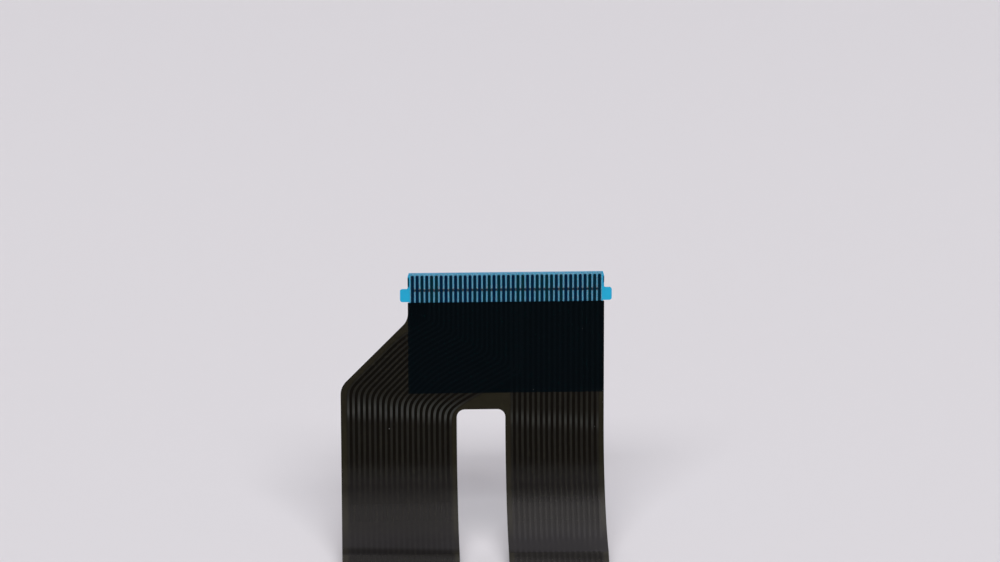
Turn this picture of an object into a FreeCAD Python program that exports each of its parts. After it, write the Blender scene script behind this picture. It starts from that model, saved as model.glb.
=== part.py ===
import FreeCAD, Part
import math
import os
import Sketcher

# The ribbon tail of a laptop keyboard. Two legs of printed film stand on the table, lean
# back, join, and end in a stiffened tongue with forty contacts, which slides into a
# connector. Sizes are in millimetres and angles in degrees.
# Every sketch is drawn as the flat tongue is seen from the contact side: across is measured
# from the left leg's outer edge, and depth down from the tongue's tip. The finished pieces
# are then moved together, so that the origin is on the table under the part's middle.

SIZES = {
    # Film outline
    "left_leg_width": 12.15,
    "leg_gap": 5.1,
    "right_leg_width": 10.35,
    "gap_corner_radius": 0.85,
    "neck_depth": 5.0,
    "shoulder_slope": 45,
    "neck_radius": 1.8,
    "shoulder_radius": 2.0,
    "lead_in_width": 0.13,
    "lead_in_length": 0.42,
    "notch_top_depth": 1.54,
    "notch_inset": 0.24,
    # Stiffener, with an ear on each side that stops at the connector's latch
    "stiffener_length": 12.9,
    "stiffener_inset": 0.14,
    "ear_top_depth": 1.7,
    "ear_bottom_depth": 3.07,
    "ear_length": 0.8,
    "ear_corner_radius": 0.25,
    "ear_root_radius": 0.15,
    "adhesive_inset": 0.24,
    # Layers, from the cover at the front to the stiffener at the back
    "cover_top_depth": 3.1,
    "cover_thickness": 0.04,
    "conductor_thickness": 0.025,
    "carrier_thickness": 0.1,
    "adhesive_thickness": 0.03,
    "stiffener_thickness": 0.17,
    # Contacts and the marks printed round them
    "contact_pitch": 0.5,
    "contact_edge_margin": 0.5,
    "contact_width": 0.32,
    "contact_corner_cut": 0.08,
    "contact_top_depth": 0.23,
    "contact_end_depth": 3.7,
    "mark_depth": 1.84,
    "mark_width": 0.2,
    "mark_thickness": 0.02,
    "edge_print_top_depth": 0.45,
    "left_print_width": 0.14,
    "left_print_length": 0.95,
    "right_print_width": 0.08,
    "right_print_length": 0.65,
    # Tracks
    "track_width": 0.25,
    "bundle_pitch": 0.5,
    "left_leg_outer_margin": 1.055,
    "left_leg_gap_margin": 0.925,
    "right_leg_gap_margin": 0.95,
    "right_leg_outer_margin": 0.925,
    "gap_corner_track_margin": 0.87,
    "shoulder_track_margin": 0.89,
    "shortest_slant": 1.21,
    "upper_slope": 28,
    "track_bend_radius": 1.6,
    "fan_bottom_depth": 12.6,
    "fan_top_depth": 11.4,
    # Side view: straight runs along the film, and the bends between them
    "free_run": 0.1,
    "sweep_radius": 13,
    "sweep_turn": 70,
    "crease_radius": 0.3,
    "crease_turn": 22,
    "ramp_run": 2.0,
    "floor_radius": 0.6,
    "foot_length": 35,
    # How far the trimming blocks reach past what they trim
    "trim_margin": 1.0,
}

CONTACT_COUNT = 40
LEFT_TRACK_COUNT = 19
RIGHT_TRACK_COUNT = 16
FIRST_LEFT_CONTACT = 5
FIRST_RIGHT_CONTACT = FIRST_LEFT_CONTACT + LEFT_TRACK_COUNT

# Sketch axes for the views from the front (across, depth) and from the side (forward, depth)
FRONT_AXES = FreeCAD.Rotation(FreeCAD.Vector(1, 0, 0), -90)
SIDE_AXES = FreeCAD.Rotation(FreeCAD.Vector(0, -1, 0), FreeCAD.Vector(0, 0, -1),
                             FreeCAD.Vector(1, 0, 0), "XYZ")
ACROSS = FreeCAD.Vector(1, 0, 0)
FORWARD = FreeCAD.Vector(0, -1, 0)

# Places that several pieces share, as expressions
RIGHT_EDGE = "(Sizes.left_leg_width + Sizes.leg_gap + Sizes.right_leg_width)"
RIGHT_LEG_EDGE = "(Sizes.left_leg_width + Sizes.leg_gap)"
TONGUE_WIDTH = (f"({CONTACT_COUNT - 1} * Sizes.contact_pitch"
                " + 2 * Sizes.contact_edge_margin)")
TONGUE_EDGE = f"({RIGHT_EDGE} - {TONGUE_WIDTH})"
BACK_FACE = "(Sizes.carrier_thickness + Sizes.adhesive_thickness + Sizes.stiffener_thickness)"
RISE = "(Side_path.Constraints.rise / 1mm)"
REACH = "(Side_path.Constraints.reach / 1mm)"
BELOW_TABLE = f"({RISE} + Sizes.trim_margin)"

# The left leg's bundle of tracks. Its slanting lines are told apart by their reach: across
# plus depth times the slope's run. The film's shoulder edge is such a line too
SHOULDER_RUN = "(1 / tan(Sizes.shoulder_slope))"
TURN_STEP = "(Sizes.bundle_pitch / cos((Sizes.shoulder_slope - Sizes.upper_slope) / 2))"
TURN_STEP_ACROSS = f"({TURN_STEP} * sin((Sizes.shoulder_slope + Sizes.upper_slope) / 2))"
TURN_STEP_DOWN = f"({TURN_STEP} * cos((Sizes.shoulder_slope + Sizes.upper_slope) / 2))"
LAST_LEFT_TRACK = LEFT_TRACK_COUNT - 1
LEFT_LEG_PITCH = ("((Sizes.left_leg_width - Sizes.left_leg_outer_margin"
                  f" - Sizes.left_leg_gap_margin) / {LAST_LEFT_TRACK})")
RIGHT_LEG_PITCH = ("((Sizes.right_leg_width - Sizes.right_leg_gap_margin"
                   f" - Sizes.right_leg_outer_margin) / {RIGHT_TRACK_COUNT - 1})")
FIRST_TURN_ACROSS = ("(Sizes.left_leg_width - Sizes.left_leg_gap_margin"
                     " + Sizes.shortest_slant * cos(Sizes.shoulder_slope)"
                     f" - {LAST_LEFT_TRACK} * {TURN_STEP_ACROSS})")
FIRST_TURN_DEPTH = (f"(Sizes.neck_depth + ({TONGUE_EDGE} - {FIRST_TURN_ACROSS})"
                    " * tan(Sizes.shoulder_slope)"
                    " + Sizes.shoulder_track_margin / cos(Sizes.shoulder_slope))")
LAST_TURN_DEPTH = f"({FIRST_TURN_DEPTH} + {LAST_LEFT_TRACK} * {TURN_STEP_DOWN})"
LAST_REACH = (f"({FIRST_TURN_ACROSS} + {LAST_LEFT_TRACK} * {TURN_STEP_ACROSS}"
              f" + {LAST_TURN_DEPTH} * {SHOULDER_RUN})")
LAST_BEND_END = (f"({LAST_TURN_DEPTH} + Sizes.shortest_slant * sin(Sizes.shoulder_slope)"
                 " + Sizes.track_bend_radius * tan(Sizes.shoulder_slope / 2))")
TRACK_TOP = "(Sizes.contact_end_depth - Sizes.track_width)"
GAP_TOP = (f"(({LAST_REACH} - Sizes.left_leg_width - Sizes.gap_corner_radius"
           " + (Sizes.gap_corner_track_margin + Sizes.gap_corner_radius)"
           f" / sin(Sizes.shoulder_slope)) / {SHOULDER_RUN} - Sizes.gap_corner_radius)")
# The film stays upright as far down as the stiffener, the gap's corners and the tracks' bends
UPRIGHT_RUN = (f"max({GAP_TOP} + Sizes.gap_corner_radius; {LAST_BEND_END};"
               " Sizes.stiffener_length) + Sizes.free_run")

doc = FreeCAD.newDocument("RibbonTail")
sizes = doc.addObject("Spreadsheet::Sheet", "Sizes")
for row, (size_name, size) in enumerate(SIZES.items(), start=1):
    sizes.set(f"A{row}", size_name)
    sizes.set(f"B{row}", str(size))
    sizes.setAlias(f"B{row}", size_name)
doc.recompute()


def bind(item, expressions):
    """Tie properties of an object to expressions of the sheet's sizes."""
    for name, expression in expressions.items():
        item.setExpression(name, expression)


def value_of(expression):
    """The number that an expression has now."""
    return float(sizes.evalExpression(expression))


def settle(item, label):
    """Name a finished piece and move it to its place over the table."""
    item.Label = label
    bind(item, {
        "Placement.Base.x": f"-({RIGHT_EDGE} + Sizes.ear_length) / 2",
        "Placement.Base.y": f"({REACH} - {BACK_FACE}) / 2",
        "Placement.Base.z": f"{RISE} + Sizes.carrier_thickness",
    })
    finished.append(item)


def corner_arc(before, corner, after, radius):
    """The arc that rounds a corner, and the ends of it where the path comes and goes."""
    side_in = (before - corner).normalize()
    side_out = (after - corner).normalize()
    half_angle = side_in.getAngle(side_out) / 2
    centre = corner + (side_in + side_out).normalize() * (radius / math.sin(half_angle))
    spokes = [corner + side * (radius / math.tan(half_angle)) - centre
              for side in (side_in, side_out)]
    near_end, far_end = (1, 2) if side_in.cross(side_out).z < 0 else (2, 1)
    angles = [math.atan2(spokes[end - 1].y, spokes[end - 1].x) for end in (near_end, far_end)]
    circle = Part.Circle(centre, FreeCAD.Vector(0, 0, 1), radius)
    return Part.ArcOfCircle(circle, *angles), near_end, far_end


def draw_path(sketch, corners, closed):
    """Draw straight runs from corner to corner. A corner is (across, depth, radius)."""
    places = [FreeCAD.Vector(value_of(x), value_of(z), 0) for x, z, _ in corners]
    count = len(corners)
    rules = []
    bound = {}

    def measure(name, rule, expression):
        rule.Name = name
        rules.append(rule)
        bound[f"Constraints.{name}"] = expression

    # What each corner hands to the runs: its place, or the two ends of its arc
    arrivals = []
    departures = []
    for number, (across, depth, radius) in enumerate(corners):
        place = places[number]
        spot = sketch.addGeometry(Part.Point(place), True)
        across_rule = Sketcher.Constraint("DistanceX", spot, 1, place.x)
        measure(f"across_{number}", across_rule, across)
        depth_rule = Sketcher.Constraint("DistanceY", spot, 1, place.y)
        measure(f"depth_{number}", depth_rule, depth)
        if radius is None:
            arrivals.append((place, "Coincident", spot, 1, spot))
            departures.append((place, "Coincident", spot, 1, spot))
            continue
        arc, near_end, far_end = corner_arc(places[number - 1], place,
                                            places[(number + 1) % count], value_of(radius))
        bend = sketch.addGeometry(arc)
        ends = (arc.StartPoint, arc.EndPoint)
        arrivals.append((ends[near_end - 1], "Tangent", bend, near_end, spot))
        departures.append((ends[far_end - 1], "Tangent", bend, far_end, spot))
        radius_rule = Sketcher.Constraint("Radius", bend, value_of(radius))
        measure(f"radius_{number}", radius_rule, radius)
    for number in range(count if closed else count - 1):
        tips = (departures[number], arrivals[(number + 1) % count])
        run = sketch.addGeometry(Part.LineSegment(tips[0][0], tips[1][0]))
        for run_end, (_, kind, other, other_end, spot) in enumerate(tips, start=1):
            rules.append(Sketcher.Constraint(kind, run, run_end, other, other_end))
            if kind == "Tangent":
                rules.append(Sketcher.Constraint("PointOnObject", spot, 1, run))
    sketch.addConstraint(rules)
    bind(sketch, bound)


def front_sketch(name, corners, closed=True):
    """A sketch seen from the contact side."""
    sketch = doc.addObject("Sketcher::SketchObject", name)
    sketch.Placement = FreeCAD.Placement(FreeCAD.Vector(), FRONT_AXES)
    draw_path(sketch, corners, closed)
    return sketch


def prism(name, face):
    """Carry a front outline through the whole depth of the part."""
    block = doc.addObject("Part::Extrusion", name)
    block.Base = face
    block.DirMode = "Custom"
    block.Dir = FORWARD
    block.Solid = True
    bind(block, {
        "LengthFwd": f"{REACH} + Sizes.trim_margin",
        "LengthRev": "Sizes.trim_margin",
    })
    return block


def strip(name, corners, width):
    """A strip of one width along a front path, as a prism. Without arcs its corners are sharp."""
    line = front_sketch(f"{name}_line", corners, closed=False)
    face = doc.addObject("Part::Offset2D", f"{name}_face")
    face.Source = line
    face.Mode = "Pipe"
    face.Join = "Arc" if any(radius for _, _, radius in corners) else "Intersection"
    face.Fill = True
    bind(face, {"Value": f"{width} / 2"})
    return prism(f"{name}_prism", face)


def layer(name, path, thickness):
    """A layer of film over the whole width, on one side of a side-view path."""
    section = doc.addObject("Part::Offset2D", f"{name}_section")
    section.Source = path
    section.Mode = "Skin"
    section.Join = "Arc"
    section.Fill = True
    bind(section, {"Value": thickness})
    sheet = doc.addObject("Part::Extrusion", name)
    sheet.Base = section
    sheet.DirMode = "Custom"
    sheet.Dir = ACROSS
    sheet.Solid = True
    bind(sheet, {"LengthFwd": RIGHT_EDGE})
    return sheet


def trimmed(kind, name, base, tool):
    """A boolean of two shapes."""
    result = doc.addObject(kind, name)
    result.Base = base
    result.Tool = tool
    result.Refine = True
    return result


def side_path():
    """The film's bends, drawn at the carrier's front face from the tip to the foot's end."""
    sketch = doc.addObject("Sketcher::SketchObject", "Side_path")
    sketch.Placement = FreeCAD.Placement(FreeCAD.Vector(), SIDE_AXES)
    ramp_tilt = "(Sizes.sweep_turn - Sizes.crease_turn)"
    # Each bend's radius and turn, forward or back, and the straight run after it
    bends = [
        ("Sizes.sweep_radius", "Sizes.sweep_turn", 1, None),
        ("Sizes.crease_radius", "Sizes.crease_turn", -1, "Sizes.ramp_run"),
        ("Sizes.floor_radius", f"90 - {ramp_tilt}", 1, "Sizes.foot_length"),
    ]
    rules = []
    bound = {}

    def measure(name, rule, expression):
        rule.Name = name
        rules.append(rule)
        bound[f"Constraints.{name}"] = expression

    def add_run(name, start, tilt, length):
        heading = FreeCAD.Vector(math.sin(tilt), math.cos(tilt), 0)
        end = start + heading * value_of(length)
        run = sketch.addGeometry(Part.LineSegment(start, end))
        measure(name, Sketcher.Constraint("Distance", run, value_of(length)), length)
        return run, end

    run, place = add_run("upright_run", FreeCAD.Vector(), 0, UPRIGHT_RUN)
    rules.append(Sketcher.Constraint("Coincident", -1, 1, run, 1))
    rules.append(Sketcher.Constraint("Vertical", run))
    film_end = (run, 2)
    tilt = 0.0
    for number, (radius_size, turn_size, way, length) in enumerate(bends):
        radius = value_of(radius_size)
        turn = math.radians(value_of(turn_size))
        centre = place + side_normal(tilt) * way * radius
        tilt += way * turn
        after = centre - side_normal(tilt) * way * radius
        angles = [math.atan2(spot.y - centre.y, spot.x - centre.x) for spot in (place, after)]
        near_end, far_end = (2, 1) if way > 0 else (1, 2)
        circle = Part.Circle(centre, FreeCAD.Vector(0, 0, 1), radius)
        bend = sketch.addGeometry(Part.ArcOfCircle(circle, *angles[::-way]))
        rules.append(Sketcher.Constraint("Tangent", *film_end, bend, near_end))
        measure(f"radius_{number}", Sketcher.Constraint("Radius", bend, radius), radius_size)
        film_end = (bend, far_end)
        place = after
        if number < len(bends) - 1:
            measure(f"turn_{number}", Sketcher.Constraint("Angle", bend, turn), turn_size)
        if length is not None:
            run, place = add_run(f"run_{number}", place, tilt, length)
            rules.append(Sketcher.Constraint("Tangent", *film_end, run, 1))
            film_end = (run, 2)
    rules.append(Sketcher.Constraint("Horizontal", run))
    sketch.addConstraint(rules)
    bind(sketch, bound)
    for kind, name, reached in (("DistanceX", "reach", place.x), ("DistanceY", "rise", place.y)):
        followed = sketch.addConstraint(Sketcher.Constraint(kind, *film_end, reached))
        sketch.renameConstraint(followed, name)
        sketch.setDriving(followed, False)
    return sketch


def side_normal(tilt):
    """The forward and upward normal of film at a tilt from upright, in side-view axes."""
    return FreeCAD.Vector(math.cos(tilt), -math.sin(tilt), 0)


def ear_side(edge, outward):
    """The stiffener's corners from the tip down past one ear to its lower edge."""
    outer = f"{edge} {outward} Sizes.ear_length"
    inward = "-" if outward == "+" else "+"
    return [
        (f"{edge} {inward} Sizes.lead_in_width", "0", None),
        (edge, "Sizes.lead_in_length", None),
        (edge, "Sizes.ear_top_depth", "Sizes.ear_root_radius"),
        (outer, "Sizes.ear_top_depth", "Sizes.ear_corner_radius"),
        (outer, "Sizes.ear_bottom_depth", "Sizes.ear_corner_radius"),
        (f"{edge} {inward} Sizes.stiffener_inset", "Sizes.ear_bottom_depth", None),
        (f"{edge} {inward} Sizes.stiffener_inset", "Sizes.stiffener_length", None),
    ]


def film_side(edge, inward):
    """The corners from the tip down past the notch that clears an ear."""
    return [
        (f"{edge} {inward} Sizes.lead_in_width", "0", None),
        (edge, "Sizes.lead_in_length", None),
        (edge, "Sizes.notch_top_depth", None),
        (f"{edge} {inward} Sizes.notch_inset", "Sizes.notch_top_depth", None),
        (f"{edge} {inward} Sizes.notch_inset", "Sizes.ear_bottom_depth", None),
        (edge, "Sizes.ear_bottom_depth", None),
    ]


def film_outline():
    """The film's whole outline from the front, open past the table where the feet turn."""
    shoulder = f"Sizes.neck_depth + {TONGUE_EDGE} * tan(Sizes.shoulder_slope)"
    return film_side(TONGUE_EDGE, "+") + [
        (TONGUE_EDGE, "Sizes.neck_depth", "Sizes.neck_radius"),
        ("0", shoulder, "Sizes.shoulder_radius"),
        ("0", BELOW_TABLE, None),
        ("Sizes.left_leg_width", BELOW_TABLE, None),
        ("Sizes.left_leg_width", GAP_TOP, "Sizes.gap_corner_radius"),
        (RIGHT_LEG_EDGE, GAP_TOP, "Sizes.gap_corner_radius"),
        (RIGHT_LEG_EDGE, BELOW_TABLE, None),
        (RIGHT_EDGE, BELOW_TABLE, None),
    ] + film_side(RIGHT_EDGE, "-")[::-1]


def body_sketch(body, name, corners, front):
    """A body's sketch seen from the contact side, this far behind the carrier's front."""
    plane = next(part for part in body.Origin.OriginFeatures if part.Role == "XZ_Plane")
    outline = body.newObject("Sketcher::SketchObject", name)
    outline.AttachmentSupport = [(plane, "")]
    outline.MapMode = "FlatFace"
    turned = FreeCAD.Rotation(FreeCAD.Vector(1, 0, 0), 180)
    outline.AttachmentOffset = FreeCAD.Placement(FreeCAD.Vector(), turned)
    bind(outline, {"AttachmentOffset.Base.z": f"-({front})"})
    draw_path(outline, corners, closed=True)
    return outline


def flat_piece(label, corners, front, thickness):
    """A flat layer behind the tongue, which starts this far behind the carrier's front."""
    body = doc.addObject("PartDesign::Body", label)
    pad = body.newObject("PartDesign::Pad", f"{label}_pad")
    pad.Profile = body_sketch(body, f"{label}_outline", corners, front)
    bind(pad, {"Length": thickness})
    return body


def recess_for_mark(body, front):
    """Sink the insertion mark's bar into a flat piece. Returns the volume before the cut."""
    doc.recompute()
    volume = body.Shape.Volume
    outline = body_sketch(body, "Mark_outline", MARK_CORNERS, front)
    pocket = body.newObject("PartDesign::Pocket", "Mark_recess")
    pocket.Profile = outline
    pocket.Reversed = True
    bind(pocket, {"Length": "Sizes.mark_thickness"})
    return volume


def contact_centre(contact):
    """How far across a contact's centreline lies. Contacts count from 1 at the left."""
    return f"{TONGUE_EDGE} + Sizes.contact_edge_margin + {contact - 1} * Sizes.contact_pitch"


MARK_LEFT = f"{contact_centre(1)} + Sizes.contact_width / 2"
MARK_RIGHT = f"{contact_centre(CONTACT_COUNT)} - Sizes.contact_width / 2"
MARK_TOP = "Sizes.mark_depth - Sizes.mark_width / 2"
MARK_BOTTOM = "Sizes.mark_depth + Sizes.mark_width / 2"
MARK_CORNERS = [(MARK_LEFT, MARK_TOP, None), (MARK_RIGHT, MARK_TOP, None),
                (MARK_RIGHT, MARK_BOTTOM, None), (MARK_LEFT, MARK_BOTTOM, None)]


def left_track(number, contact):
    """A left leg's track: up the leg, along the shoulder, across the tongue, to its contact."""
    leg_across = f"(Sizes.left_leg_outer_margin + {number} * {LEFT_LEG_PITCH})"
    turn_across = f"({FIRST_TURN_ACROSS} + {number} * {TURN_STEP_ACROSS})"
    turn_depth = f"({FIRST_TURN_DEPTH} + {number} * {TURN_STEP_DOWN})"
    contact_across = f"({contact_centre(contact)})"
    shoulder_drop = f"({turn_across} - {leg_across}) * tan(Sizes.shoulder_slope)"
    upper_rise = f"({contact_across} - {turn_across}) * tan(Sizes.upper_slope)"
    return [
        (leg_across, BELOW_TABLE, None),
        (leg_across, f"{turn_depth} + {shoulder_drop}", "Sizes.track_bend_radius"),
        (turn_across, turn_depth, None),
        (contact_across, f"{turn_depth} - {upper_rise}", None),
        (contact_across, TRACK_TOP, None),
    ]


def right_track(number, contact):
    """A right leg's track: up the leg, and closer to its neighbours on the tongue."""
    leg_across = f"{RIGHT_LEG_EDGE} + Sizes.right_leg_gap_margin + {number} * {RIGHT_LEG_PITCH}"
    contact_across = contact_centre(contact)
    return [
        (leg_across, BELOW_TABLE, None),
        (leg_across, "Sizes.fan_bottom_depth", None),
        (contact_across, "Sizes.fan_top_depth", None),
        (contact_across, TRACK_TOP, None),
    ]


def conductor_strip(contact):
    """A contact's strip, with its track where the contact has one, before it is trimmed."""
    across = contact_centre(contact)
    left = f"{across} - Sizes.contact_width / 2"
    right = f"{across} + Sizes.contact_width / 2"
    below_cut = "Sizes.contact_top_depth + Sizes.contact_corner_cut"
    outline = [
        (left, below_cut, None),
        (f"{left} + Sizes.contact_corner_cut", "Sizes.contact_top_depth", None),
        (f"{right} - Sizes.contact_corner_cut", "Sizes.contact_top_depth", None),
        (right, below_cut, None),
        (right, "Sizes.contact_end_depth", None),
        (left, "Sizes.contact_end_depth", None),
    ]
    shape = prism(f"Contact_{contact:02d}", front_sketch(f"Contact_{contact:02d}_outline", outline))
    left_number = contact - FIRST_LEFT_CONTACT
    right_number = contact - FIRST_RIGHT_CONTACT
    if 0 <= left_number < LEFT_TRACK_COUNT:
        corners = left_track(left_number, contact)
    elif 0 <= right_number < RIGHT_TRACK_COUNT:
        corners = right_track(right_number, contact)
    else:
        return shape
    track = strip(f"Track_{contact:02d}", corners, "Sizes.track_width")
    return trimmed("Part::Fuse", f"Strip_{contact:02d}", shape, track)


def box(name, across, depth, front, size):
    """A plain block, from its left, upper, front corner. Front counts from the carrier back."""
    block = doc.addObject("Part::Box", name)
    width, height, thickness = size
    bind(block, {
        "Length": width,
        "Width": thickness,
        "Height": height,
        "Placement.Base.x": across,
        "Placement.Base.y": front,
        "Placement.Base.z": f"-({depth}) - ({height})",
    })
    return block


finished = []
path = side_path()
doc.recompute()

film_block = prism("Film_block", front_sketch("Film_outline", film_outline()))
carrier_layer = layer("Carrier_layer", path, "-Sizes.carrier_thickness")
conductor_layer = layer("Conductor_layer", path, "Sizes.conductor_thickness")
cover_layer = layer("Cover_layer", path, "Sizes.conductor_thickness + Sizes.cover_thickness")

carrier = trimmed("Part::Common", "Carrier", carrier_layer, film_block)
settle(carrier, "carrier_film")

strips = [conductor_strip(contact) for contact in range(1, CONTACT_COUNT + 1)]
for contact, shape in enumerate(strips, start=1):
    conductor = trimmed("Part::Common", f"Conductor_{contact:02d}", shape, conductor_layer)
    settle(conductor, f"conductor_{contact:02d}")

window = box("Contact_window", "-Sizes.trim_margin", "-Sizes.trim_margin",
             "-Sizes.trim_margin",
             (f"{RIGHT_EDGE} + 2 * Sizes.trim_margin",
              "Sizes.cover_top_depth + Sizes.trim_margin", "2 * Sizes.trim_margin"))
cover_above_tracks = trimmed("Part::Cut", "Cover_above_tracks", cover_layer, conductor_layer)
cover_sheet = trimmed("Part::Common", "Cover_sheet", cover_above_tracks, film_block)
cover = trimmed("Part::Cut", "Cover", cover_sheet, window)
settle(cover, "cover_film")

print_front = "-Sizes.conductor_thickness"
edge_print = doc.addObject("Part::MultiFuse", "Edge_print")
edge_print.Shapes = [
    box("Left_edge_print", TONGUE_EDGE, "Sizes.edge_print_top_depth", print_front,
        ("Sizes.left_print_width", "Sizes.left_print_length", "Sizes.conductor_thickness")),
    box("Right_edge_print", f"{RIGHT_EDGE} - Sizes.right_print_width",
        "Sizes.edge_print_top_depth", print_front,
        ("Sizes.right_print_width", "Sizes.right_print_length", "Sizes.conductor_thickness")),
]
settle(edge_print, "edge_print")

mark = flat_piece("insertion_mark", MARK_CORNERS, "Sizes.carrier_thickness",
                  "Sizes.mark_thickness")
settle(mark, "insertion_mark")

adhesive_front = "Sizes.carrier_thickness"
adhesive_left = f"{TONGUE_EDGE} + Sizes.adhesive_inset"
adhesive_right = f"{RIGHT_EDGE} - Sizes.adhesive_inset"
adhesive_corners = [(adhesive_left, "0", None), (adhesive_left, "Sizes.stiffener_length", None),
                    (adhesive_right, "Sizes.stiffener_length", None), (adhesive_right, "0", None)]
adhesive = flat_piece("stiffener_adhesive", adhesive_corners, adhesive_front,
                      "Sizes.adhesive_thickness")
adhesive_volume = recess_for_mark(adhesive, adhesive_front)
settle(adhesive, "stiffener_adhesive")

stiffener_corners = ear_side(TONGUE_EDGE, "-") + ear_side(RIGHT_EDGE, "+")[::-1]
stiffener = flat_piece("stiffener", stiffener_corners,
                       "Sizes.carrier_thickness + Sizes.adhesive_thickness",
                       "Sizes.stiffener_thickness")
settle(stiffener, "stiffener")

doc.recompute()

problems = [item.Name for item in doc.Objects
            if any(word in item.State for word in ("Invalid", "Error"))]
problems += [item.Label for item in finished
             if item.Shape.isNull() or not item.Shape.isValid()]
if adhesive.Shape.Volume >= adhesive_volume:
    problems.append("the mark's recess cuts nothing")
if problems:
    raise SystemExit("Not built: " + ", ".join(problems))

os.makedirs("parts", exist_ok=True)
for item in finished:
    item.Shape.exportStep(f"parts/{item.Label}.step")
print(f"{len(finished)} pieces written")
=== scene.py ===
import math

import bpy
import numpy as np
from mathutils import Matrix, Vector


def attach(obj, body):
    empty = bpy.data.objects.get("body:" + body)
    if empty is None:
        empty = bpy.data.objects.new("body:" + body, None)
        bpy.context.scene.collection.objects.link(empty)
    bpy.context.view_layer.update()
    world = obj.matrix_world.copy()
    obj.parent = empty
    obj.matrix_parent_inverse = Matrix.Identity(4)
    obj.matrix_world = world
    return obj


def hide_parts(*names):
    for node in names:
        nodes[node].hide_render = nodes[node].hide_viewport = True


# The ribbon tail of a laptop keyboard: two film legs rise from the table and join in a stiff
# tongue with forty contacts, which face -Y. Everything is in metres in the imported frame.
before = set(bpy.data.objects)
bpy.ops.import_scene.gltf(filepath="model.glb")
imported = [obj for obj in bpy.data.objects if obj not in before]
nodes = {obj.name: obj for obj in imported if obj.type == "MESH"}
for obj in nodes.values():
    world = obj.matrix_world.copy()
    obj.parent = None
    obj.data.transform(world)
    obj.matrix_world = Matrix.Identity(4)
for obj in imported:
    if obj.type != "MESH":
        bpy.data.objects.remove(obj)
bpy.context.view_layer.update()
scene = bpy.context.scene
scene.view_settings.view_transform = "Standard"

# Camera: a long lens a little above the tongue, slightly left of straight ahead, which looks
# down at about 13 degrees.
CAMERA_PLACE = Vector((-0.013468, -0.37748, 0.122668))
CAMERA_YAW = math.radians(2.289)
CAMERA_PITCH = math.radians(13.22)
CAMERA_ROLL = math.radians(-0.12)
SENSOR_WIDTH = 36.0
FRAME_WIDTH_PX = 1000
FOCAL_PX = 3950
NEAREST_SEEN = 0.01
FARTHEST_SEEN = 20.0

camera_data = bpy.data.cameras.new("photo_camera")
camera_data.sensor_width = SENSOR_WIDTH
camera_data.lens = FOCAL_PX / FRAME_WIDTH_PX * SENSOR_WIDTH
camera_data.clip_start = NEAREST_SEEN
camera_data.clip_end = FARTHEST_SEEN
camera = bpy.data.objects.new("photo_camera", camera_data)
camera.matrix_world = (Matrix.Translation(CAMERA_PLACE)
                       @ Matrix.Rotation(-CAMERA_YAW, 4, "Z")
                       @ Matrix.Rotation(math.pi / 2 - CAMERA_PITCH, 4, "X")
                       @ Matrix.Rotation(CAMERA_ROLL, 4, "Z"))
scene.collection.objects.link(camera)
scene.camera = camera

# Table and backdrop: one sheet of smooth pale paper, flat under the part and curved up far
# behind it.
PAPER = (0.69, 0.68, 0.705)
PAPER_ROUGHNESS = 0.9
PAPER_GLOSS = 0.1
SWEEP_HALF_WIDTH = 1.6
SWEEP_FRONT = -1.6
SWEEP_BEND = 1.2
SWEEP_RADIUS = 0.4
SWEEP_HEIGHT = 1.6
SWEEP_BEND_STEPS = 24


def paper_sweep():
    """A profile of floor, quarter circle and wall, carried straight along X."""
    turn = np.linspace(0, math.pi / 2, SWEEP_BEND_STEPS)
    along = np.concatenate([[SWEEP_FRONT], SWEEP_BEND + SWEEP_RADIUS * np.sin(turn),
                            [SWEEP_BEND + SWEEP_RADIUS]])
    up = np.concatenate([[0], SWEEP_RADIUS * (1 - np.cos(turn)), [SWEEP_HEIGHT]])
    sides = np.array([-SWEEP_HALF_WIDTH, SWEEP_HALF_WIDTH])
    grid = np.stack(np.broadcast_arrays(sides[:, None], along[None], up[None]), axis=-1)
    count = len(along)
    near = np.arange(count - 1)
    quads = np.stack([near, near + count, near + count + 1, near + 1], axis=1)
    mesh = bpy.data.meshes.new("paper_sweep")
    mesh.from_pydata(grid.reshape(-1, 3).tolist(), [], quads.tolist())
    mesh.shade_smooth()
    return bpy.data.objects.new("paper_sweep", mesh)


def new_material(name):
    """An empty node material and its output."""
    material = bpy.data.materials.new(name)
    material.use_nodes = True
    tree = material.node_tree
    tree.nodes.clear()
    return material, tree, tree.nodes.new("ShaderNodeOutputMaterial")


sweep = paper_sweep()
scene.collection.objects.link(sweep)
paper, tree, output = new_material("pale_paper")
matte = tree.nodes.new("ShaderNodeBsdfPrincipled")
matte.inputs["Base Color"].default_value = (*PAPER, 1)
matte.inputs["Roughness"].default_value = PAPER_ROUGHNESS
matte.inputs["Specular IOR Level"].default_value = PAPER_GLOSS
tree.links.new(matte.outputs["BSDF"], output.inputs["Surface"])
sweep.data.materials.append(paper)

# Light: a softbox above and in front, whose shadow falls behind the part, a long softbox
# overhead that runs down the film's bend as a sheen, and an even dim fill.
WORLD_LEVEL = 0.1
LAMP_DISTANCE = 6.0
KEY_ELEVATION = math.radians(36)
KEY_SIZE = (4.8, 1.2)
KEY_RADIANCE = 16.1
KEY_COLOUR = (1.0, 1.0, 1.0)
TOP_ELEVATION = math.radians(91)
TOP_SIZE = (2.4, 10.4)
TOP_RADIANCE = 2.9
TOP_COLOUR = (1.0, 0.955, 0.985)

world = bpy.data.worlds.new("even_fill")
world.use_nodes = True
background = world.node_tree.nodes["Background"]
background.inputs["Color"].default_value = (1, 1, 1, 1)
background.inputs["Strength"].default_value = WORLD_LEVEL
scene.world = world


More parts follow.
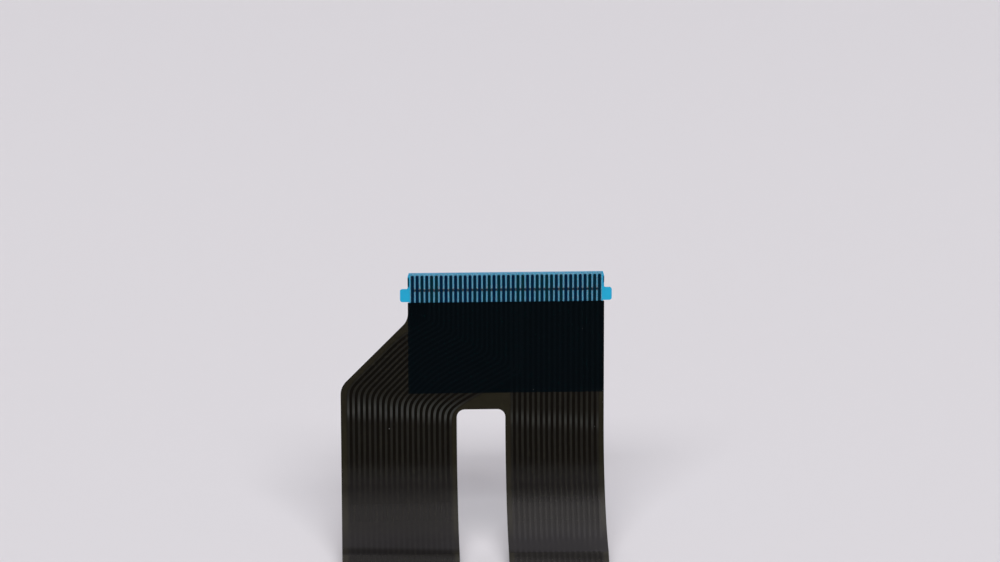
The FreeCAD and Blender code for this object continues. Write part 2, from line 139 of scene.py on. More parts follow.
def soft_lamp(name, elevation, size, radiance, colour):
    """A rectangular area lamp this high above the horizon in front, which faces the part. Its
    power is its radiance times pi times its area."""
    data = bpy.data.lights.new(name, "AREA")
    data.shape = "RECTANGLE"
    data.size, data.size_y = size
    data.color = colour
    data.energy = radiance * math.pi * size[0] * size[1]
    lamp = bpy.data.objects.new(name, data)
    lamp.location = Vector((0, -math.cos(elevation), math.sin(elevation))) * LAMP_DISTANCE
    lamp.rotation_euler = (math.pi / 2 - elevation, 0, 0)
    scene.collection.objects.link(lamp)


soft_lamp("key", KEY_ELEVATION, KEY_SIZE, KEY_RADIANCE, KEY_COLOUR)
soft_lamp("overhead", TOP_ELEVATION, TOP_SIZE, TOP_RADIANCE, TOP_COLOUR)

# Carrier film: clear polyester sheet, a tenth of a millimetre thick and cut with a steel
# rule. The print goes on its front and the stiffener on its back, and it is bare only
# between the contacts.
CARRIER_HAZE = (0.22, 0.27, 0.29)
CARRIER_VEIL = 0.05
CARRIER_TINT = (0.96, 0.98, 1.0)
CARRIER_ROUGHNESS = 0.15
CARRIER_GLOSS = 0.12
CARRIER_WAVES = 260
SPECKS_PER_METRE = 9000
MOTTLES_PER_METRE = 420
SCRATCHES_PER_METRE = 3400
SCRATCH_STRETCH = (1.0, 1.0, 0.05)
SCRATCH_LEVELS = (0.70, 0.78)
SCRATCH_RUB = 0.5
SPECK_LEVELS = (0.45, 0.75)
SPECK_RUB = 0.35
MIDDLE_LEVELS = (0.3, 0.7)
WAVE_SHARE = 0.8
SPECK_SHARE = 0.02
GRAINS_PER_METRE = 800
GRAINLESS_CELLS = 0.87
GRAIN_EDGE = (0.03, 0.08)
WAVE_HEIGHT = 0.00001
RUB_STEP = 0.12
TONE_CHANGE = 0.025
FILM_IOR = 1.58
FACING_BLEND = 0.3
GLANCING_VEIL = 0.25


def link_value(tree, value, socket):
    """Join a socket to another, or set it to a number."""
    if isinstance(value, bpy.types.NodeSocket):
        tree.links.new(value, socket)
    else:
        socket.default_value = value


def maths(tree, operation, *values, clamp=False):
    """One Math node, for a number at every point of the surface."""
    node = tree.nodes.new("ShaderNodeMath")
    node.operation = operation
    node.use_clamp = clamp
    for value, socket in zip(values, node.inputs):
        link_value(tree, value, socket)
    return node.outputs[0]


def spread(tree, value, low, high, to_low, to_high):
    """Map a range of one value to another with soft ends, and hold it beyond them."""
    node = tree.nodes.new("ShaderNodeMapRange")
    node.interpolation_type = "SMOOTHSTEP"
    for socket, number in zip(node.inputs[:5], (value, low, high, to_low, to_high)):
        link_value(tree, number, socket)
    return node.outputs[0]


def noise(tree, places, scale, detail=2.0, stretch=(1, 1, 1)):
    """Noise with this many features to the metre, drawn out along an axis by a stretch under
    one."""
    squeezed = tree.nodes.new("ShaderNodeVectorMath")
    squeezed.operation = "MULTIPLY"
    tree.links.new(places, squeezed.inputs[0])
    squeezed.inputs[1].default_value = stretch
    node = tree.nodes.new("ShaderNodeTexNoise")
    link_value(tree, scale, node.inputs["Scale"])
    node.inputs["Detail"].default_value = detail
    tree.links.new(squeezed.outputs[0], node.inputs["Vector"])
    return node.outputs["Fac"]


def mixed(tree, share, first, second):
    """A colour between two, each a socket or a triple."""
    node = tree.nodes.new("ShaderNodeMix")
    node.data_type = "RGBA"
    tree.links.new(share, node.inputs["Factor"])
    for colour, label in ((first, "A"), (second, "B")):
        if isinstance(colour, bpy.types.NodeSocket):
            tree.links.new(colour, node.inputs[label])
        else:
            node.inputs[label].default_value = (*colour, 1)
    return node.outputs["Result"]


def object_places(tree):
    """Object coordinates, which are metres in the frame."""
    return tree.nodes.new("ShaderNodeTexCoord").outputs["Object"]


def film_surface_group():
    """The face of handled polyester: slow waves and fine specks as a height, scratches and
    specks as a rub for the roughness, slow mottling of its tone, and a few grains of dust."""
    tree = bpy.data.node_groups.new("film_surface", "ShaderNodeTree")
    for way, kind, labels in (("INPUT", "NodeSocketVector", ["Places"]),
                              ("INPUT", "NodeSocketFloat", ["Waves", "Scratches"]),
                              ("OUTPUT", "NodeSocketFloat", ["Height", "Rub", "Mottle",
                                                             "Dust"])):
        for label in labels:
            tree.interface.new_socket(label, in_out=way, socket_type=kind)
    given = tree.nodes.new("NodeGroupInput").outputs
    result = tree.nodes.new("NodeGroupOutput").inputs
    places = given["Places"]
    waves = noise(tree, places, given["Waves"], detail=1.0)
    specks = noise(tree, places, SPECKS_PER_METRE)
    hairs = noise(tree, places, SCRATCHES_PER_METRE, detail=0.0, stretch=SCRATCH_STRETCH)
    scratches = maths(tree, "MULTIPLY", spread(tree, hairs, *SCRATCH_LEVELS, 0.0, 1.0),
                      given["Scratches"])
    tree.links.new(maths(tree, "ADD", maths(tree, "MULTIPLY", waves, WAVE_SHARE),
                         maths(tree, "MULTIPLY", specks, SPECK_SHARE)), result["Height"])
    rubbed = spread(tree, specks, *SPECK_LEVELS, 0.0, SPECK_RUB)
    tree.links.new(maths(tree, "ADD", scratches, rubbed), result["Rub"])
    mottles = noise(tree, places, MOTTLES_PER_METRE)
    tree.links.new(spread(tree, mottles, *MIDDLE_LEVELS, 0.0, 1.0), result["Mottle"])
    cells = tree.nodes.new("ShaderNodeTexVoronoi")
    cells.inputs["Scale"].default_value = GRAINS_PER_METRE
    tree.links.new(places, cells.inputs["Vector"])
    chosen = maths(tree, "GREATER_THAN", cells.outputs["Color"], GRAINLESS_CELLS)
    grains = spread(tree, cells.outputs["Distance"], *GRAIN_EDGE, 1.0, 0.0)
    tree.links.new(maths(tree, "MULTIPLY", chosen, grains), result["Dust"])
    return tree


film_surface = film_surface_group()


def see_through(name, colour, veil, tint, roughness, gloss, waves):
    """Film that shows what is behind it. Veil is how much of its own colour the face where
    light enters has, more at a glancing angle, and tint the colour that the rest lets
    through. The face where light leaves adds nothing."""
    material, tree, output = new_material(name)
    body = tree.nodes.new("ShaderNodeBsdfPrincipled")
    body.inputs["Specular IOR Level"].default_value = gloss
    body.inputs["IOR"].default_value = FILM_IOR
    surface = tree.nodes.new("ShaderNodeGroup")
    surface.node_tree = film_surface
    tree.links.new(object_places(tree), surface.inputs["Places"])
    surface.inputs["Waves"].default_value = waves
    surface.inputs["Scratches"].default_value = SCRATCH_RUB
    darker, lighter = [tuple(part * level for part in colour)
                       for level in (1 - TONE_CHANGE, 1 + TONE_CHANGE)]
    tree.links.new(mixed(tree, surface.outputs["Mottle"], darker, lighter),
                   body.inputs["Base Color"])
    bump = tree.nodes.new("ShaderNodeBump")
    bump.inputs["Distance"].default_value = WAVE_HEIGHT
    tree.links.new(surface.outputs["Height"], bump.inputs["Height"])
    tree.links.new(bump.outputs["Normal"], body.inputs["Normal"])
    rub = maths(tree, "MULTIPLY", surface.outputs["Rub"], RUB_STEP)
    tree.links.new(maths(tree, "ADD", rub, roughness), body.inputs["Roughness"])
    facing = tree.nodes.new("ShaderNodeLayerWeight")
    facing.inputs["Blend"].default_value = FACING_BLEND
    leaving = tree.nodes.new("ShaderNodeNewGeometry").outputs["Backfacing"]
    glancing = maths(tree, "MULTIPLY", facing.outputs["Facing"], (1 - veil) * GLANCING_VEIL)
    veiled = maths(tree, "ADD", veil, glancing)
    veiled = maths(tree, "MULTIPLY", veiled, maths(tree, "SUBTRACT", 1.0, leaving))
    clear = tree.nodes.new("ShaderNodeBsdfTransparent")
    tree.links.new(mixed(tree, leaving, tint, (1, 1, 1)), clear.inputs["Color"])
    mix = tree.nodes.new("ShaderNodeMixShader")
    tree.links.new(veiled, mix.inputs["Fac"])
    tree.links.new(clear.outputs["BSDF"], mix.inputs[1])
    tree.links.new(body.outputs["BSDF"], mix.inputs[2])
    tree.links.new(mix.outputs["Shader"], output.inputs["Surface"])
    return material, tree, body, surface


def dress(node_name, material):
    """Give a CAD node its material."""
    for slot in nodes[node_name].material_slots:
        slot.material = material


clear_film = see_through("clear_polyester", CARRIER_HAZE, CARRIER_VEIL, CARRIER_TINT,
                         CARRIER_ROUGHNESS, CARRIER_GLOSS, CARRIER_WAVES)[0]
dress("carrier_film", clear_film)

# Conductors: forty strips of conductive ink, screen-printed on the carrier's front and
# blue-black under a carbon coat, with two slivers of the same print at the tongue's edges.
INK_TEAL = (0.0003, 0.0165, 0.025)
INK_NAVY = (0.0003, 0.011, 0.034)
INK_GLOSS = 0.015
INK_ROUGHNESS = (0.35, 0.55)
PRINT_GRAINS_PER_METRE = 14000
PRINT_SPECKLE = 0.5
PRINT_RELIEF = 0.000004
STRIP_TONES_PER_METRE = 1800
STRIP_TONE_LEVELS = (0.35, 0.65)
ALONG_STRIPS = (1.0, 0.05, 0.05)


def printed_ink(name, colour, other):
    """Matt printed ink with the grain of a screen print, its tone changing from strip to
    strip."""
    material, tree, output = new_material(name)
    body = tree.nodes.new("ShaderNodeBsdfPrincipled")
    body.inputs["Specular IOR Level"].default_value = INK_GLOSS
    grain = noise(tree, object_places(tree), PRINT_GRAINS_PER_METRE, detail=3.0)
    strips = noise(tree, object_places(tree), STRIP_TONES_PER_METRE, detail=0.0,
                   stretch=ALONG_STRIPS)
    speckle = maths(tree, "MULTIPLY", maths(tree, "SUBTRACT", grain, 0.5), PRINT_SPECKLE)
    tone = maths(tree, "ADD", spread(tree, strips, *STRIP_TONE_LEVELS, 0.0, 1.0), speckle,
                 clamp=True)
    tree.links.new(mixed(tree, tone, colour, other), body.inputs["Base Color"])
    tree.links.new(spread(tree, grain, *MIDDLE_LEVELS, *INK_ROUGHNESS),
                   body.inputs["Roughness"])
    bump = tree.nodes.new("ShaderNodeBump")
    bump.inputs["Distance"].default_value = PRINT_RELIEF
    tree.links.new(grain, bump.inputs["Height"])
    tree.links.new(bump.outputs["Normal"], body.inputs["Normal"])
    tree.links.new(body.outputs["BSDF"], output.inputs["Surface"])
    return material


ink = printed_ink("conductive_ink", INK_TEAL, INK_NAVY)
for node_name in nodes:
    if node_name.startswith("conductor_"):
        dress(node_name, ink)
dress("edge_print", ink)

# Cover film: dark olive polyester, hot-pressed over the print from just below the contacts.
# It lies on each track and dips a little between them. It has a pale painted sheen where it
# bends most, and a trace of light passes through it; more light through it is painted into its
# colour.
MM = 0.001
FILM_LEFT = -14.2
FILM_FRONT = 22.6198
TIP_HEIGHT = 29.4917

# Places on the film are millimetres across from its left edge and down from its tip. A bend
# is its radius, its turn in degrees and the straight run after it, and a corner is its place
# down the film and its radius.
UPRIGHT_RUN = 15.624
BENDS = [(13.0, 70.0, 0.0), (0.3, -22.0, 2.0), (0.6, 42.0, 35.0)]
BEND_STEPS = (60, 4, 6)
RUN_STEPS = (0, 5, 14)
COVER_TOP = 3.1
TONGUE_LEFT = 7.1
LEFT_LEG = (0.0, 12.15)
RIGHT_LEG = (17.25, 27.6)
NECK = (5.0, 1.8)
SHOULDER = (12.1, 2.0)
CORNER_STEPS = 9
PAST_THE_FEET = 100.0
GAP_TOP = 14.669
GAP_CORNER = 0.85
GAP_CORNER_STEPS = 8
GAP_CORNER_START = 0.12
NECK_ROWS = 4
SLOPE_ROWS = 12
SHOULDER_ROWS = 8
NEARLY = 1e-6
CONDUCTOR_RISE = 0.025
CLEARANCE = 0.006
COVER_FILM = 0.034
DIP_DEPTH = 0.3
DIP_START = 0.01
DIP_WIDTH = 0.07
DIP_FADE = 1.2
SHARP_ANGLE = math.radians(40)

# A row of tracks is its first track, its pitch and its count. Round each track the mesh has
# columns half-way to the one before, at the foot and head of the step on to it, in its
# middle, and at the head and foot of the step off it.
TRACK_PITCH = 0.565
LEFT_TRACKS = (1.055, TRACK_PITCH, 19)
RIGHT_TRACKS = (18.2, TRACK_PITCH, 16)
TRACK_HALF = 0.125
TRACK_COLUMNS = (-TRACK_PITCH / 2, -0.205, -0.135, 0.0, 0.135, 0.205)
MARGIN_COLUMNS = 4


def film_place(down, front):
    """Forward and depth of places on the film, in millimetres. Down is the run along the film
    from its tip, and front the distance before the carrier's face. The side view is an upright
    run, then bends of a radius and a turn, each with a straight run after it."""
    spot = np.zeros(down.shape + (2,))
    normal = np.zeros(down.shape + (2,))
    start, corner, tilt = 0.0, np.zeros(2), 0.0
    pieces = [(UPRIGHT_RUN, None, 0.0)]
    for radius, turn, run in BENDS:
        pieces.append((radius * math.radians(abs(turn)), radius, math.copysign(1, turn)))
        if run:
            pieces.append((run, None, 0.0))
    for length, radius, sense in pieces:
        run = np.clip(down - start, 0, length)
        if radius is None:
            tilts = np.full(down.shape, tilt)
            moved = np.stack([np.sin(tilt) * run, np.cos(tilt) * run], axis=-1)
            last_tilt = tilt
            last_move = np.array([math.sin(tilt), math.cos(tilt)]) * length
        else:
            tilts = tilt + sense * run / radius
            moved = sense * radius * np.stack([np.cos(tilt) - np.cos(tilts),
                                               np.sin(tilts) - np.sin(tilt)], axis=-1)
            last_tilt = tilt + sense * length / radius
            last_move = sense * radius * np.array([math.cos(tilt) - math.cos(last_tilt),
                                                   math.sin(last_tilt) - math.sin(tilt)])
        here = (down >= start - NEARLY)[..., None]
        spot = np.where(here, corner + moved, spot)
        normal = np.where(here, np.stack([np.cos(tilts), -np.sin(tilts)], axis=-1), normal)
        start, corner, tilt = start + length, corner + last_move, last_tilt
    return np.moveaxis(spot + normal * front[..., None], -1, 0)


def rounded(corner_down, radius, slope_before, slope_after):
    """Down and across places round one corner of the left edge: a circle that touches the
    lines before and after it. Slopes are across over down."""
    turn_in, turn_out = math.atan(slope_before), math.atan(slope_after)
    reach = radius * math.tan(abs(turn_out - turn_in) / 2)
    angle = np.linspace(turn_in, turn_out, CORNER_STEPS)
    sense = math.copysign(1, turn_out - turn_in)
    down = -reach * math.cos(turn_in) + sense * radius * (np.sin(angle) - math.sin(turn_in))
    across = -reach * math.sin(turn_in) + sense * radius * (math.cos(turn_in) - np.cos(angle))
    return corner_down + down, across


neck_down, neck_across = rounded(*NECK, 0.0, -1.0)
shoulder_down, shoulder_across = rounded(*SHOULDER, -1.0, 0.0)
edge_down = np.concatenate([[0.0], neck_down, shoulder_down, [PAST_THE_FEET]])
edge_across = np.concatenate([[TONGUE_LEFT], TONGUE_LEFT + neck_across,
                              LEFT_LEG[0] + shoulder_across, [LEFT_LEG[0]]])


def cover_rows():
    """Rows down the film: at the outline's corners, and close together on the bends."""
    angle = np.linspace(GAP_CORNER_START, math.pi / 2, GAP_CORNER_STEPS)
    corner = GAP_TOP + GAP_CORNER * (1 - np.cos(angle))
    parts = [np.linspace(COVER_TOP, neck_down[0], NECK_ROWS)[:-1], neck_down,
             np.linspace(neck_down[-1], shoulder_down[0], SLOPE_ROWS)[1:-1], shoulder_down,
             np.linspace(shoulder_down[-1], GAP_TOP, SHOULDER_ROWS)[1:], corner, [UPRIGHT_RUN]]
    for (radius, turn, run), bend_steps, run_steps in zip(BENDS, BEND_STEPS, RUN_STEPS):
        bend = radius * math.radians(abs(turn))
        parts.append(parts[-1][-1] + np.linspace(0, bend, bend_steps + 1)[1:])
        if run_steps:
            parts.append(parts[-1][-1] + np.linspace(0, run, run_steps + 1)[1:])
    return np.concatenate(parts)


rows = cover_rows()
left_edge = np.interp(rows, edge_down, edge_across)
corner_run = np.clip((rows - GAP_TOP) / GAP_CORNER, 0, 1)
corner_cut = GAP_CORNER * (1 - np.sqrt(1 - (1 - corner_run) ** 2))
in_gap = rows > GAP_TOP + NEARLY
middle = (LEFT_LEG[1] + RIGHT_LEG[0]) / 2
left_inner = np.where(in_gap, LEFT_LEG[1] + corner_cut, middle)
right_inner = np.where(in_gap, RIGHT_LEG[0] - corner_cut, middle)


def track_columns(leg, tracks):
    """Columns across a leg, close together where the film steps on and off a track."""
    first, pitch, count = tracks
    lines = (first + pitch * np.arange(count)[:, None] + np.array(TRACK_COLUMNS)).ravel()
    lines = np.append(lines, first + pitch * (count - 1) + pitch / 2)
    outer = np.linspace(leg[0], lines[0], MARGIN_COLUMNS)[:-1]
    inner = np.linspace(lines[-1], leg[1], MARGIN_COLUMNS)[1:]
    return np.concatenate([outer, lines, inner])


def dip_between(across, down, tracks):
    """How far the film dips towards the carrier, as a share of a track's rise: none over a
    track, a smooth step down on each side of it, and none above the legs."""
    first, pitch, count = tracks
    nearest = np.clip(np.round((across - first) / pitch), 0, count - 1)
    away = np.abs(across - first - nearest * pitch)
    step = np.clip((away - TRACK_HALF - DIP_START) / DIP_WIDTH, 0, 1)
    fade = np.clip((down - UPRIGHT_RUN) / DIP_FADE, 0, 1)
    return DIP_DEPTH * step * step * (3 - 2 * step) * fade * fade * (3 - 2 * fade)


def leg_grid(leg, tracks, low_edge, high_edge):
    """Across, down and dip for one leg, with its columns shared out between its two edges."""
    columns = track_columns(leg, tracks)
    share = (columns - leg[0]) / (leg[1] - leg[0])
    across = low_edge[:, None] + share[None] * (high_edge - low_edge)[:, None]
    straight = (rows > GAP_TOP + GAP_CORNER - NEARLY)[:, None]
    across = np.where(straight, columns[None], across)
    down = np.broadcast_to(rows[:, None], across.shape)
    return across, down, dip_between(across, down, tracks)


left_across, left_down, left_dip = leg_grid(LEFT_LEG, LEFT_TRACKS, left_edge, left_inner)
right_across, right_down, right_dip = leg_grid(
    RIGHT_LEG, RIGHT_TRACKS, right_inner, np.full(len(rows), RIGHT_LEG[1]))
left_ids = np.arange(left_across.size).reshape(left_across.shape)
right_ids = left_across.size + np.arange(right_across.size).reshape(right_across.shape)
right_ids[~in_gap, 0] = left_ids[~in_gap, -1]


def quads_of(ids):
    """Quads over a grid of vertex numbers that face forward."""
    return np.stack([ids[:-1, :-1], ids[1:, :-1], ids[1:, 1:], ids[:-1, 1:]],
                    axis=-1).reshape(-1, 4)


def film_points(across, down, front):
    """Points of the film, in metres in the frame."""
    forward, depth = film_place(down, front)
    return np.stack([across + FILM_LEFT, FILM_FRONT - forward, TIP_HEIGHT - depth],
                    axis=-1) * MM


def closed_film(name, front, back, quads):
    """A thin closed film. Its two faces share a grid of quads, and walls join them along
    every edge that only one quad has."""
    count = len(front)
    edges = np.concatenate([quads[:, [a, (a + 1) % 4]] for a in range(4)])
    codes = edges[:, 0].astype(np.int64) * count + edges[:, 1]
    opposite = edges[:, 1].astype(np.int64) * count + edges[:, 0]
    free = edges[~np.isin(codes, opposite)]
    walls = np.stack([free[:, 1], free[:, 0], free[:, 0] + count, free[:, 1] + count], axis=1)
    faces = np.concatenate([quads, quads[:, ::-1] + count, walls])
    mesh = bpy.data.meshes.new(name)
    mesh.from_pydata(np.concatenate([front, back]).tolist(), [], faces.tolist())
    mesh.validate()
    mesh.shade_smooth()
    mesh.set_sharp_from_angle(angle=SHARP_ANGLE)
    return mesh


def add_piece(mesh, node_name):
    """Put a finished mesh in the scene in the place of a CAD node."""
    piece = bpy.data.objects.new(mesh.name, mesh)
    scene.collection.objects.link(piece)
    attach(piece, "root")
    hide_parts(node_name)


quads = np.concatenate([quads_of(left_ids), quads_of(right_ids)])
across = np.concatenate([left_across.ravel(), right_across.ravel()])
down = np.concatenate([left_down.ravel(), right_down.ravel()])
back_face = CLEARANCE + CONDUCTOR_RISE * (1 - np.concatenate([left_dip.ravel(),
                                                              right_dip.ravel()]))
used = np.zeros(len(across), dtype=bool)
used[quads] = True
renumber = np.cumsum(used) - 1
cover_mesh = closed_film("cover_skin",
                         film_points(across, down, back_face + COVER_FILM)[used],
                         film_points(across, down, back_face)[used], renumber[quads])
MAP_SCALE = 100.0
flat_places = np.stack([across, -down], axis=-1)[used] / MAP_SCALE
flat_places = np.concatenate([flat_places, flat_places])
film_map = cover_mesh.uv_layers.new(name="flat_film")
corner_points = np.empty(len(cover_mesh.loops), dtype=np.int32)
cover_mesh.loops.foreach_get("vertex_index", corner_points)
film_map.data.foreach_set("uv", flat_places[corner_points].astype(np.float32).ravel())
add_piece(cover_mesh, "cover_film")

COVER_OLIVE = (0.0048, 0.0040, 0.0032)
# Painted light let through from behind: on the bare margins, between the tracks, and through the
# blue stiffener.
BACKLIT_MARGIN = (0.0138, 0.0122, 0.0074)
BACKLIT_STRIP = (0.0112, 0.0107, 0.0091)
BACKLIT_STIFFENER = (0.0014, 0.0028, 0.0038)
BACKLIT_STIFFENER_STRIP = (0.0021, 0.0038, 0.0051)
# A painted glint, paler than the film.
PAINTED_GLINT = (0.038, 0.039, 0.037)
# A painted sheen, pale grey.
PAINTED_SHEEN = (0.034, 0.032, 0.034)
DUSTY = (0.060, 0.060, 0.060)
COVER_VEIL = 0.994
COVER_TINT = (1.0, 0.94, 0.61)
COVER_ROUGHNESS = 0.2
COVER_GLOSS = 0.005
COVER_WAVES = 260

dark_film, tree, body, surface = see_through(
    "dark_olive_film", COVER_OLIVE, COVER_VEIL, COVER_TINT, COVER_ROUGHNESS, COVER_GLOSS,
    COVER_WAVES)
film_places = tree.nodes.new("ShaderNodeUVMap")
film_places.uv_map = "flat_film"
parts = tree.nodes.new("ShaderNodeSeparateXYZ")
tree.links.new(film_places.outputs["UV"], parts.inputs[0])
film_across = maths(tree, "MULTIPLY", parts.outputs["X"], MAP_SCALE)
film_down = maths(tree, "MULTIPLY", parts.outputs["Y"], -MAP_SCALE)


def left_to_right(places, left, right):
    """A number that changes softly across the film, from one place to another."""
    return spread(tree, film_across, *places, left, right)


def down_film(places, above, below):
    """A number that changes softly down the film, from one place to another."""
    return spread(tree, film_down, *places, above, below)


def below_line(slant, start):
    """How far below a slanting line a place is. The line's place down the film is its start
    at the left edge, and its slant times the way across."""
    line = maths(tree, "ADD", maths(tree, "MULTIPLY", film_across, slant), start)
    return maths(tree, "SUBTRACT", film_down, line)


def times(first, *others):
    """Numbers or masks multiplied together."""
    for other in others:
        first = maths(tree, "MULTIPLY", first, other)
    return first


def count_along(row, value):
    """Which track of an even row a place is on, with the way to the next as a fraction."""
    return maths(tree, "DIVIDE", maths(tree, "SUBTRACT", value, row[0]), row[1])


def in_row(count, last):
    """One inside a row of tracks, zero on the bare margins beside it."""
    from_middle = maths(tree, "ABSOLUTE", maths(tree, "SUBTRACT", count, last / 2))
    near, far = ROW_ENDS
    return spread(tree, from_middle, last / 2 + near, last / 2 + far, 1.0, 0.0)


def between_lines(count, last):
    """One between two tracks of a row, zero on a track and outside the row."""
    away = maths(tree, "ABSOLUTE", maths(tree, "SUBTRACT", count, maths(tree, "ROUND", count)))
    return times(spread(tree, away, *STRIP_EDGES, 0.0, 1.0), in_row(count, last))


# Where the tracks lie under the film, for the light painted between them. On the left they leave
# the contacts straight, run down a slope, turn at the shoulder and go straight down the leg, so
# four even rows in turn say where they are. Each turn is rounded over a track or two.
SLOPE_ROW = (10.236, 0.5663)
SLOPE_SLANT = 0.5317
SHOULDER_ROW = (13.359, 0.7071)
CONTACT_ROW = (9.6, 0.5)
TRACK_CORNER = 1.8
CONTACT_CORNER = 1.2
STRIP_EDGES = (0.23, 0.32)
ROW_ENDS = (0.45, 1.0)

on_leg = count_along(LEFT_TRACKS, film_across)
on_shoulder = count_along(SHOULDER_ROW, maths(tree, "ADD", film_across, film_down))
on_slope = count_along(SLOPE_ROW, maths(tree, "ADD", film_down, times(film_across, SLOPE_SLANT)))
at_contact = count_along(CONTACT_ROW, film_across)
down_slope = maths(tree, "SMOOTH_MIN", on_shoulder, on_slope, TRACK_CORNER)
down_left = maths(tree, "SMOOTH_MIN", on_leg, down_slope, TRACK_CORNER)
left_count = maths(tree, "SMOOTH_MAX", at_contact, down_left, CONTACT_CORNER)
right_count = count_along(RIGHT_TRACKS, film_across)
left_last = LEFT_TRACKS[2] - 1
right_last = RIGHT_TRACKS[2] - 1
between = maths(tree, "MAXIMUM", between_lines(left_count, left_last),
                between_lines(right_count, right_last))
tracked = maths(tree, "MAXIMUM", in_row(left_count, left_last), in_row(right_count, right_last))

# A painted glint: a paler band below the stiffener, between the tracks only and weaker on the
# right leg, where light catches the film. It comes in slowly from above and stops sooner below.
BAND_SLANT = 0.06
BAND_DOWN = 14.67
BAND_ABOVE = (-2.9, -1.9)
BAND_BELOW = (-0.1, 1.7)
BAND_POWER = 2.0
LEG_TO_LEG = (13.0, 18.0)
RIGHT_GLINT = 0.58
PATCHES_PER_METRE = 900
PATCH_RANGE = (0.8, 1.15)

from_band = below_line(BAND_SLANT, BAND_DOWN)
band = times(spread(tree, from_band, left_to_right(LEG_TO_LEG, *BAND_ABOVE), 0.0, 0.0, 1.0),
             spread(tree, from_band, *BAND_BELOW, 1.0, 0.0))
patches = noise(tree, object_places(tree), PATCHES_PER_METRE, detail=1.0)
painted_glint = times(maths(tree, "POWER", band, BAND_POWER),
                  spread(tree, patches, *MIDDLE_LEVELS, *PATCH_RANGE),
                  left_to_right(LEG_TO_LEG, 1.0, RIGHT_GLINT), between)

# Painted sheen: the start of the bend is painted a little paler, to fill the step from matt to
# glossy. The fold at its foot has a pale painted sheen on the way in, most of all between the
# tracks of the right leg, and this painted sheen and the coat are both weaker along the crease
# itself.
OVER_THE_GAP = (12.0, 18.0)
BEND_SHEEN_FROM = (21.3, 22.6)
BEND_SHEEN_SHARE = 0.16
BEND_SHEEN_UNTIL = ((23.0, 22.3), (24.8, 24.0))
CREASE_SLANT = 0.046
CREASE_DOWN = 30.87
CREASE_EDGES = (0.1, 0.9)
CREASE_DULLNESS = (0.42, 0.58)
FOLD_SHEEN_FROM = (26.4, 30.4)
FOLD_SHEEN_TO = (31.42, 31.62)
FOLD_SHEEN_PLACES = (6.0, 22.0)
FOLD_SHEEN_SHARES = (0.68, 1.1)
FOLD_SHEEN_ON_TRACK = 0.92
FOLD_SHEEN_BETWEEN = (0.15, 0.34)

bend_sheen_until = [left_to_right(OVER_THE_GAP, *ends) for ends in BEND_SHEEN_UNTIL]
painted_bend_sheen = times(down_film(BEND_SHEEN_FROM, 0.0, BEND_SHEEN_SHARE), down_film(bend_sheen_until, 1.0, 0.0))
from_crease = maths(tree, "ABSOLUTE", below_line(CREASE_SLANT, CREASE_DOWN))
crease = spread(tree, from_crease, *CREASE_EDGES,
                left_to_right(OVER_THE_GAP, *CREASE_DULLNESS), 1.0)
near_fold = times(down_film(FOLD_SHEEN_FROM, 0.0, 1.0), down_film(FOLD_SHEEN_TO, 1.0, 0.0))
sheen_streaks = times(between, left_to_right(OVER_THE_GAP, *FOLD_SHEEN_BETWEEN))
painted_fold_sheen = times(near_fold, crease, left_to_right(FOLD_SHEEN_PLACES, *FOLD_SHEEN_SHARES),
               maths(tree, "ADD", FOLD_SHEEN_ON_TRACK, sheen_streaks))

# The film's colour: olive over the tracks, with painted light let through from behind: lighter
# between the tracks and on its bare margins, fading down the legs between the tracks, and teal
# where it comes through the blue stiffener.
STIFFENER_END = 12.9
BACKLIGHT_FADE = (16.0, 27.0)
BACKLIGHT_LEFT_OVER = 0.15

shade = mixed(tree, tracked, BACKLIT_MARGIN, COVER_OLIVE)
shade = mixed(tree, times(between, down_film(BACKLIGHT_FADE, 1.0, BACKLIGHT_LEFT_OVER)),
              shade, BACKLIT_STRIP)
backed = times(maths(tree, "LESS_THAN", film_down, STIFFENER_END),
               maths(tree, "GREATER_THAN", film_across, TONGUE_LEFT))
shade = mixed(tree, backed, shade, mixed(tree, between, BACKLIT_STIFFENER, BACKLIT_STIFFENER_STRIP))
# The painted glint between the tracks below the stiffener.
shade = mixed(tree, painted_glint, shade, PAINTED_GLINT)
# Painted sheen at the start of the bend and on the way in to the fold.
shade = mixed(tree, painted_bend_sheen, shade, PAINTED_SHEEN)
shade = mixed(tree, painted_fold_sheen, shade, PAINTED_SHEEN)
shade = mixed(tree, surface.outputs["Dust"], shade, DUSTY)
tree.links.new(shade, body.inputs["Base Color"])

# Gloss: the film is stretched smooth on the bend, more so on the right leg and at its rim,
# and is dull at the crease and past it.
BEND_GLOSS_ROUGHNESS = 0.22
GLOSSY_FROM = (22.3, 25.7)
GLOSS_PLACES = (6.0, 22.0)
GLOSS_SHARES = (0.19, 0.275)
STREAK_PLACES = (10.0, 20.0)
STREAK_GLOSS = (-0.02, 0.07)
RIM = (26.8, 27.1)
RIM_GLOSS = 0.12
PAST_THE_FOLD = (31.4, 31.65)
PAST_FOLD_PLACES = (12.0, 20.0)
PAST_FOLD_LOSS = 0.25

between_gloss = times(between, left_to_right(STREAK_PLACES, *STREAK_GLOSS))
gloss = maths(tree, "ADD", left_to_right(GLOSS_PLACES, *GLOSS_SHARES),
              maths(tree, "ADD", between_gloss, left_to_right(RIM, 0.0, RIM_GLOSS)))
past_fold = times(down_film(PAST_THE_FOLD, 0.0, 1.0),
                  left_to_right(PAST_FOLD_PLACES, 0.0, PAST_FOLD_LOSS))
gloss = times(gloss, crease, maths(tree, "SUBTRACT", 1.0, near_fold),
              maths(tree, "SUBTRACT", 1.0, past_fold), down_film(GLOSSY_FROM, 0.0, 1.0))
tree.links.new(gloss, body.inputs["Coat Weight"])
body.inputs["Coat Roughness"].default_value = BEND_GLOSS_ROUGHNESS
cover_mesh.materials.append(dark_film)

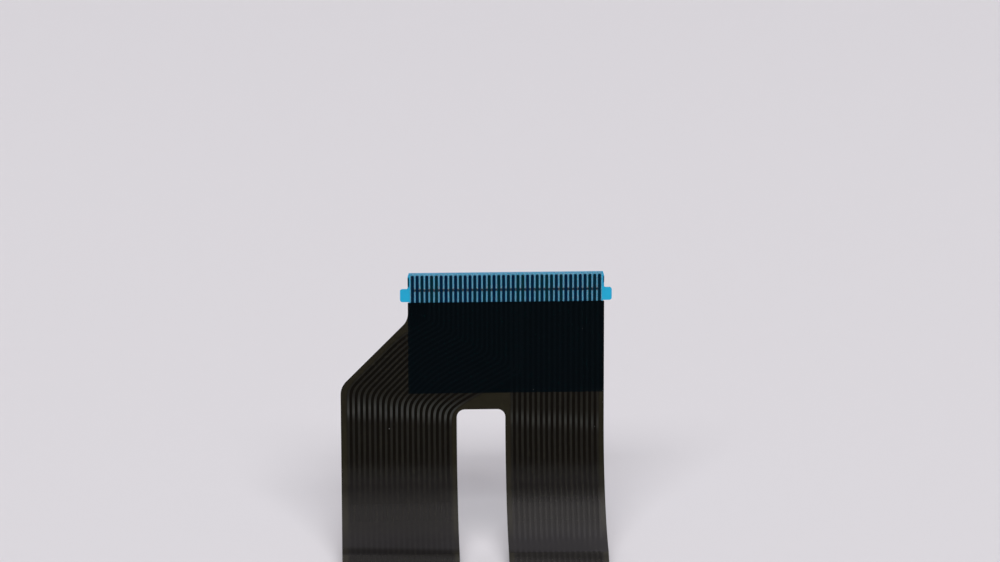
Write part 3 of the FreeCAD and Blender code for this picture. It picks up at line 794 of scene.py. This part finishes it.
# Insertion mark: one printed line across the carrier's back, seen through it between the
# contacts, that shows how far the tongue goes into its connector.
MARK_LEFT = 7.76
MARK_RIGHT = 26.94
MARK_DOWN = 1.84
MARK_HALF = 0.15
MARK_BACK = (-0.102, -0.118)
MARK_STEPS = 160
MARK_WAVER = (0.012, 7.3, 0.0)
MARK_RAGGEDNESS = (0.008, 17.9, 1.0)
MARK_VIOLET = (0.003, 0.022, 0.050)
MARK_BLUE = (0.001, 0.030, 0.046)

mark_across = np.linspace(MARK_LEFT, MARK_RIGHT, MARK_STEPS)
uneven = sum(height * np.sin(mark_across * turns + offset)
             for height, turns, offset in (MARK_WAVER, MARK_RAGGEDNESS))
mark_down = np.stack([MARK_DOWN - MARK_HALF + uneven, MARK_DOWN + MARK_HALF - uneven[::-1]])
mark_ids = np.arange(mark_down.size).reshape(mark_down.shape)
mark_x = np.broadcast_to(mark_across, mark_down.shape).ravel()
mark_front, mark_back = [film_points(mark_x, mark_down.ravel(), np.full(mark_x.shape, face))
                         for face in MARK_BACK]
mark_mesh = closed_film("insertion_line", mark_front, mark_back, quads_of(mark_ids))
mark_mesh.materials.append(printed_ink("mark_ink", MARK_VIOLET, MARK_BLUE))
add_piece(mark_mesh, "insertion_mark")

# Adhesive: a clear sheet of glue with a milky haze, rolled on between carrier and stiffener.
ADHESIVE_HAZE = (0.72, 0.60, 0.56)
ADHESIVE_VEIL = 0.22
ADHESIVE_TINT = (0.98, 0.98, 0.98)
ADHESIVE_ROUGHNESS = 0.4
ADHESIVE_GLOSS = 0.1
ADHESIVE_WAVES = 500
clear_glue = see_through("clear_adhesive", ADHESIVE_HAZE, ADHESIVE_VEIL, ADHESIVE_TINT,
                         ADHESIVE_ROUGHNESS, ADHESIVE_GLOSS, ADHESIVE_WAVES)[0]
dress("stiffener_adhesive", clear_glue)

# Stiffener: bright blue polyester sheet, punched out with its two ears and glued behind the
# tongue, so that it is stiff enough to push in.
STIFFENER_BLUE = (0.014, 0.35, 0.58)
STIFFENER_VEIL = 0.88
STIFFENER_TINT = (0.05, 0.60, 0.85)
STIFFENER_ROUGHNESS = 0.2
STIFFENER_GLOSS = 0.10
STIFFENER_WAVES = 180
blue_sheet = see_through("blue_polyester", STIFFENER_BLUE, STIFFENER_VEIL, STIFFENER_TINT,
                         STIFFENER_ROUGHNESS, STIFFENER_GLOSS, STIFFENER_WAVES)[0]
dress("stiffener", blue_sheet)
